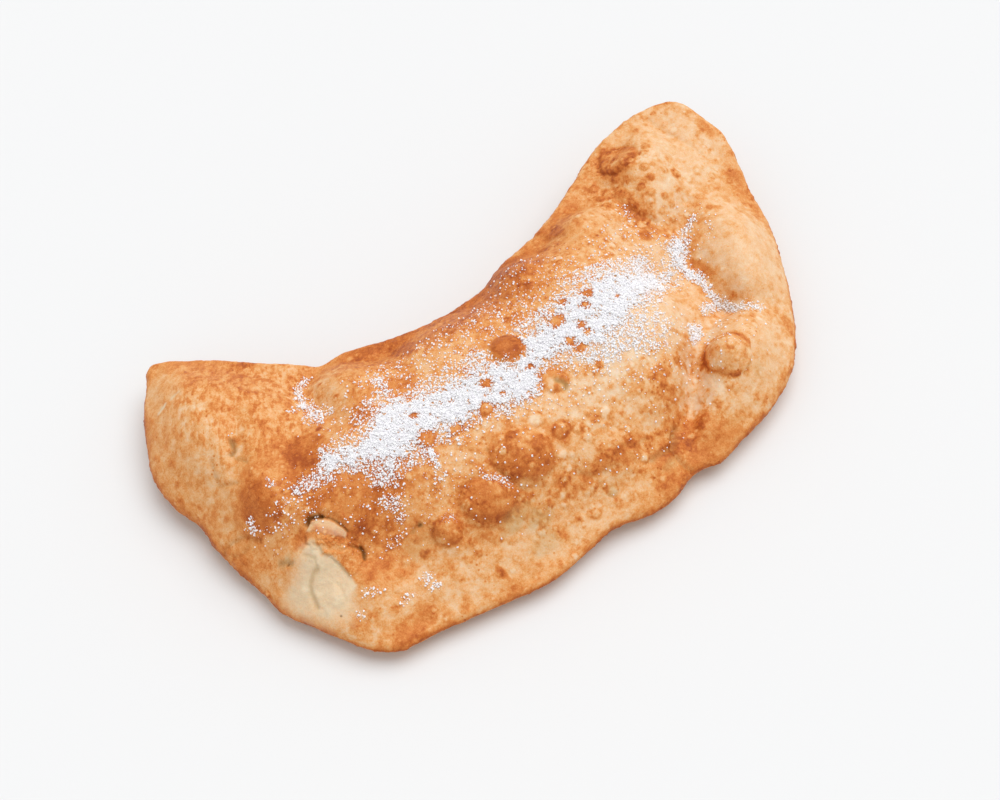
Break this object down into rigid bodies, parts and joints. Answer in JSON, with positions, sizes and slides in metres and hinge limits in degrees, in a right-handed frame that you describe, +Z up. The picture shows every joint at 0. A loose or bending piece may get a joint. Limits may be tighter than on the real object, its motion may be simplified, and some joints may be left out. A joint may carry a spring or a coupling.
{
  "type": "empanada",
  "caption": "Large puffed half-moon of fried dough, folded at the back and sealed round the front, with browned blisters and a sprinkling of sugar.",
  "frame": {"origin": "middle of the bounding box in plan, at the height of the flat spot it rests on", "axes": "+X along its length, from the left horn to the right horn; +Y from the sealed front edge to the fold; +Z up"},
  "size_m": [0.252, 0.151, 0.042],
  "materials": {
    "fried_dough": "fried wheat dough with a faint sheen of oil"
  },
  "bodies": {
    "root": {"empanada": "fried_dough"}
  },
  "joints": []
}
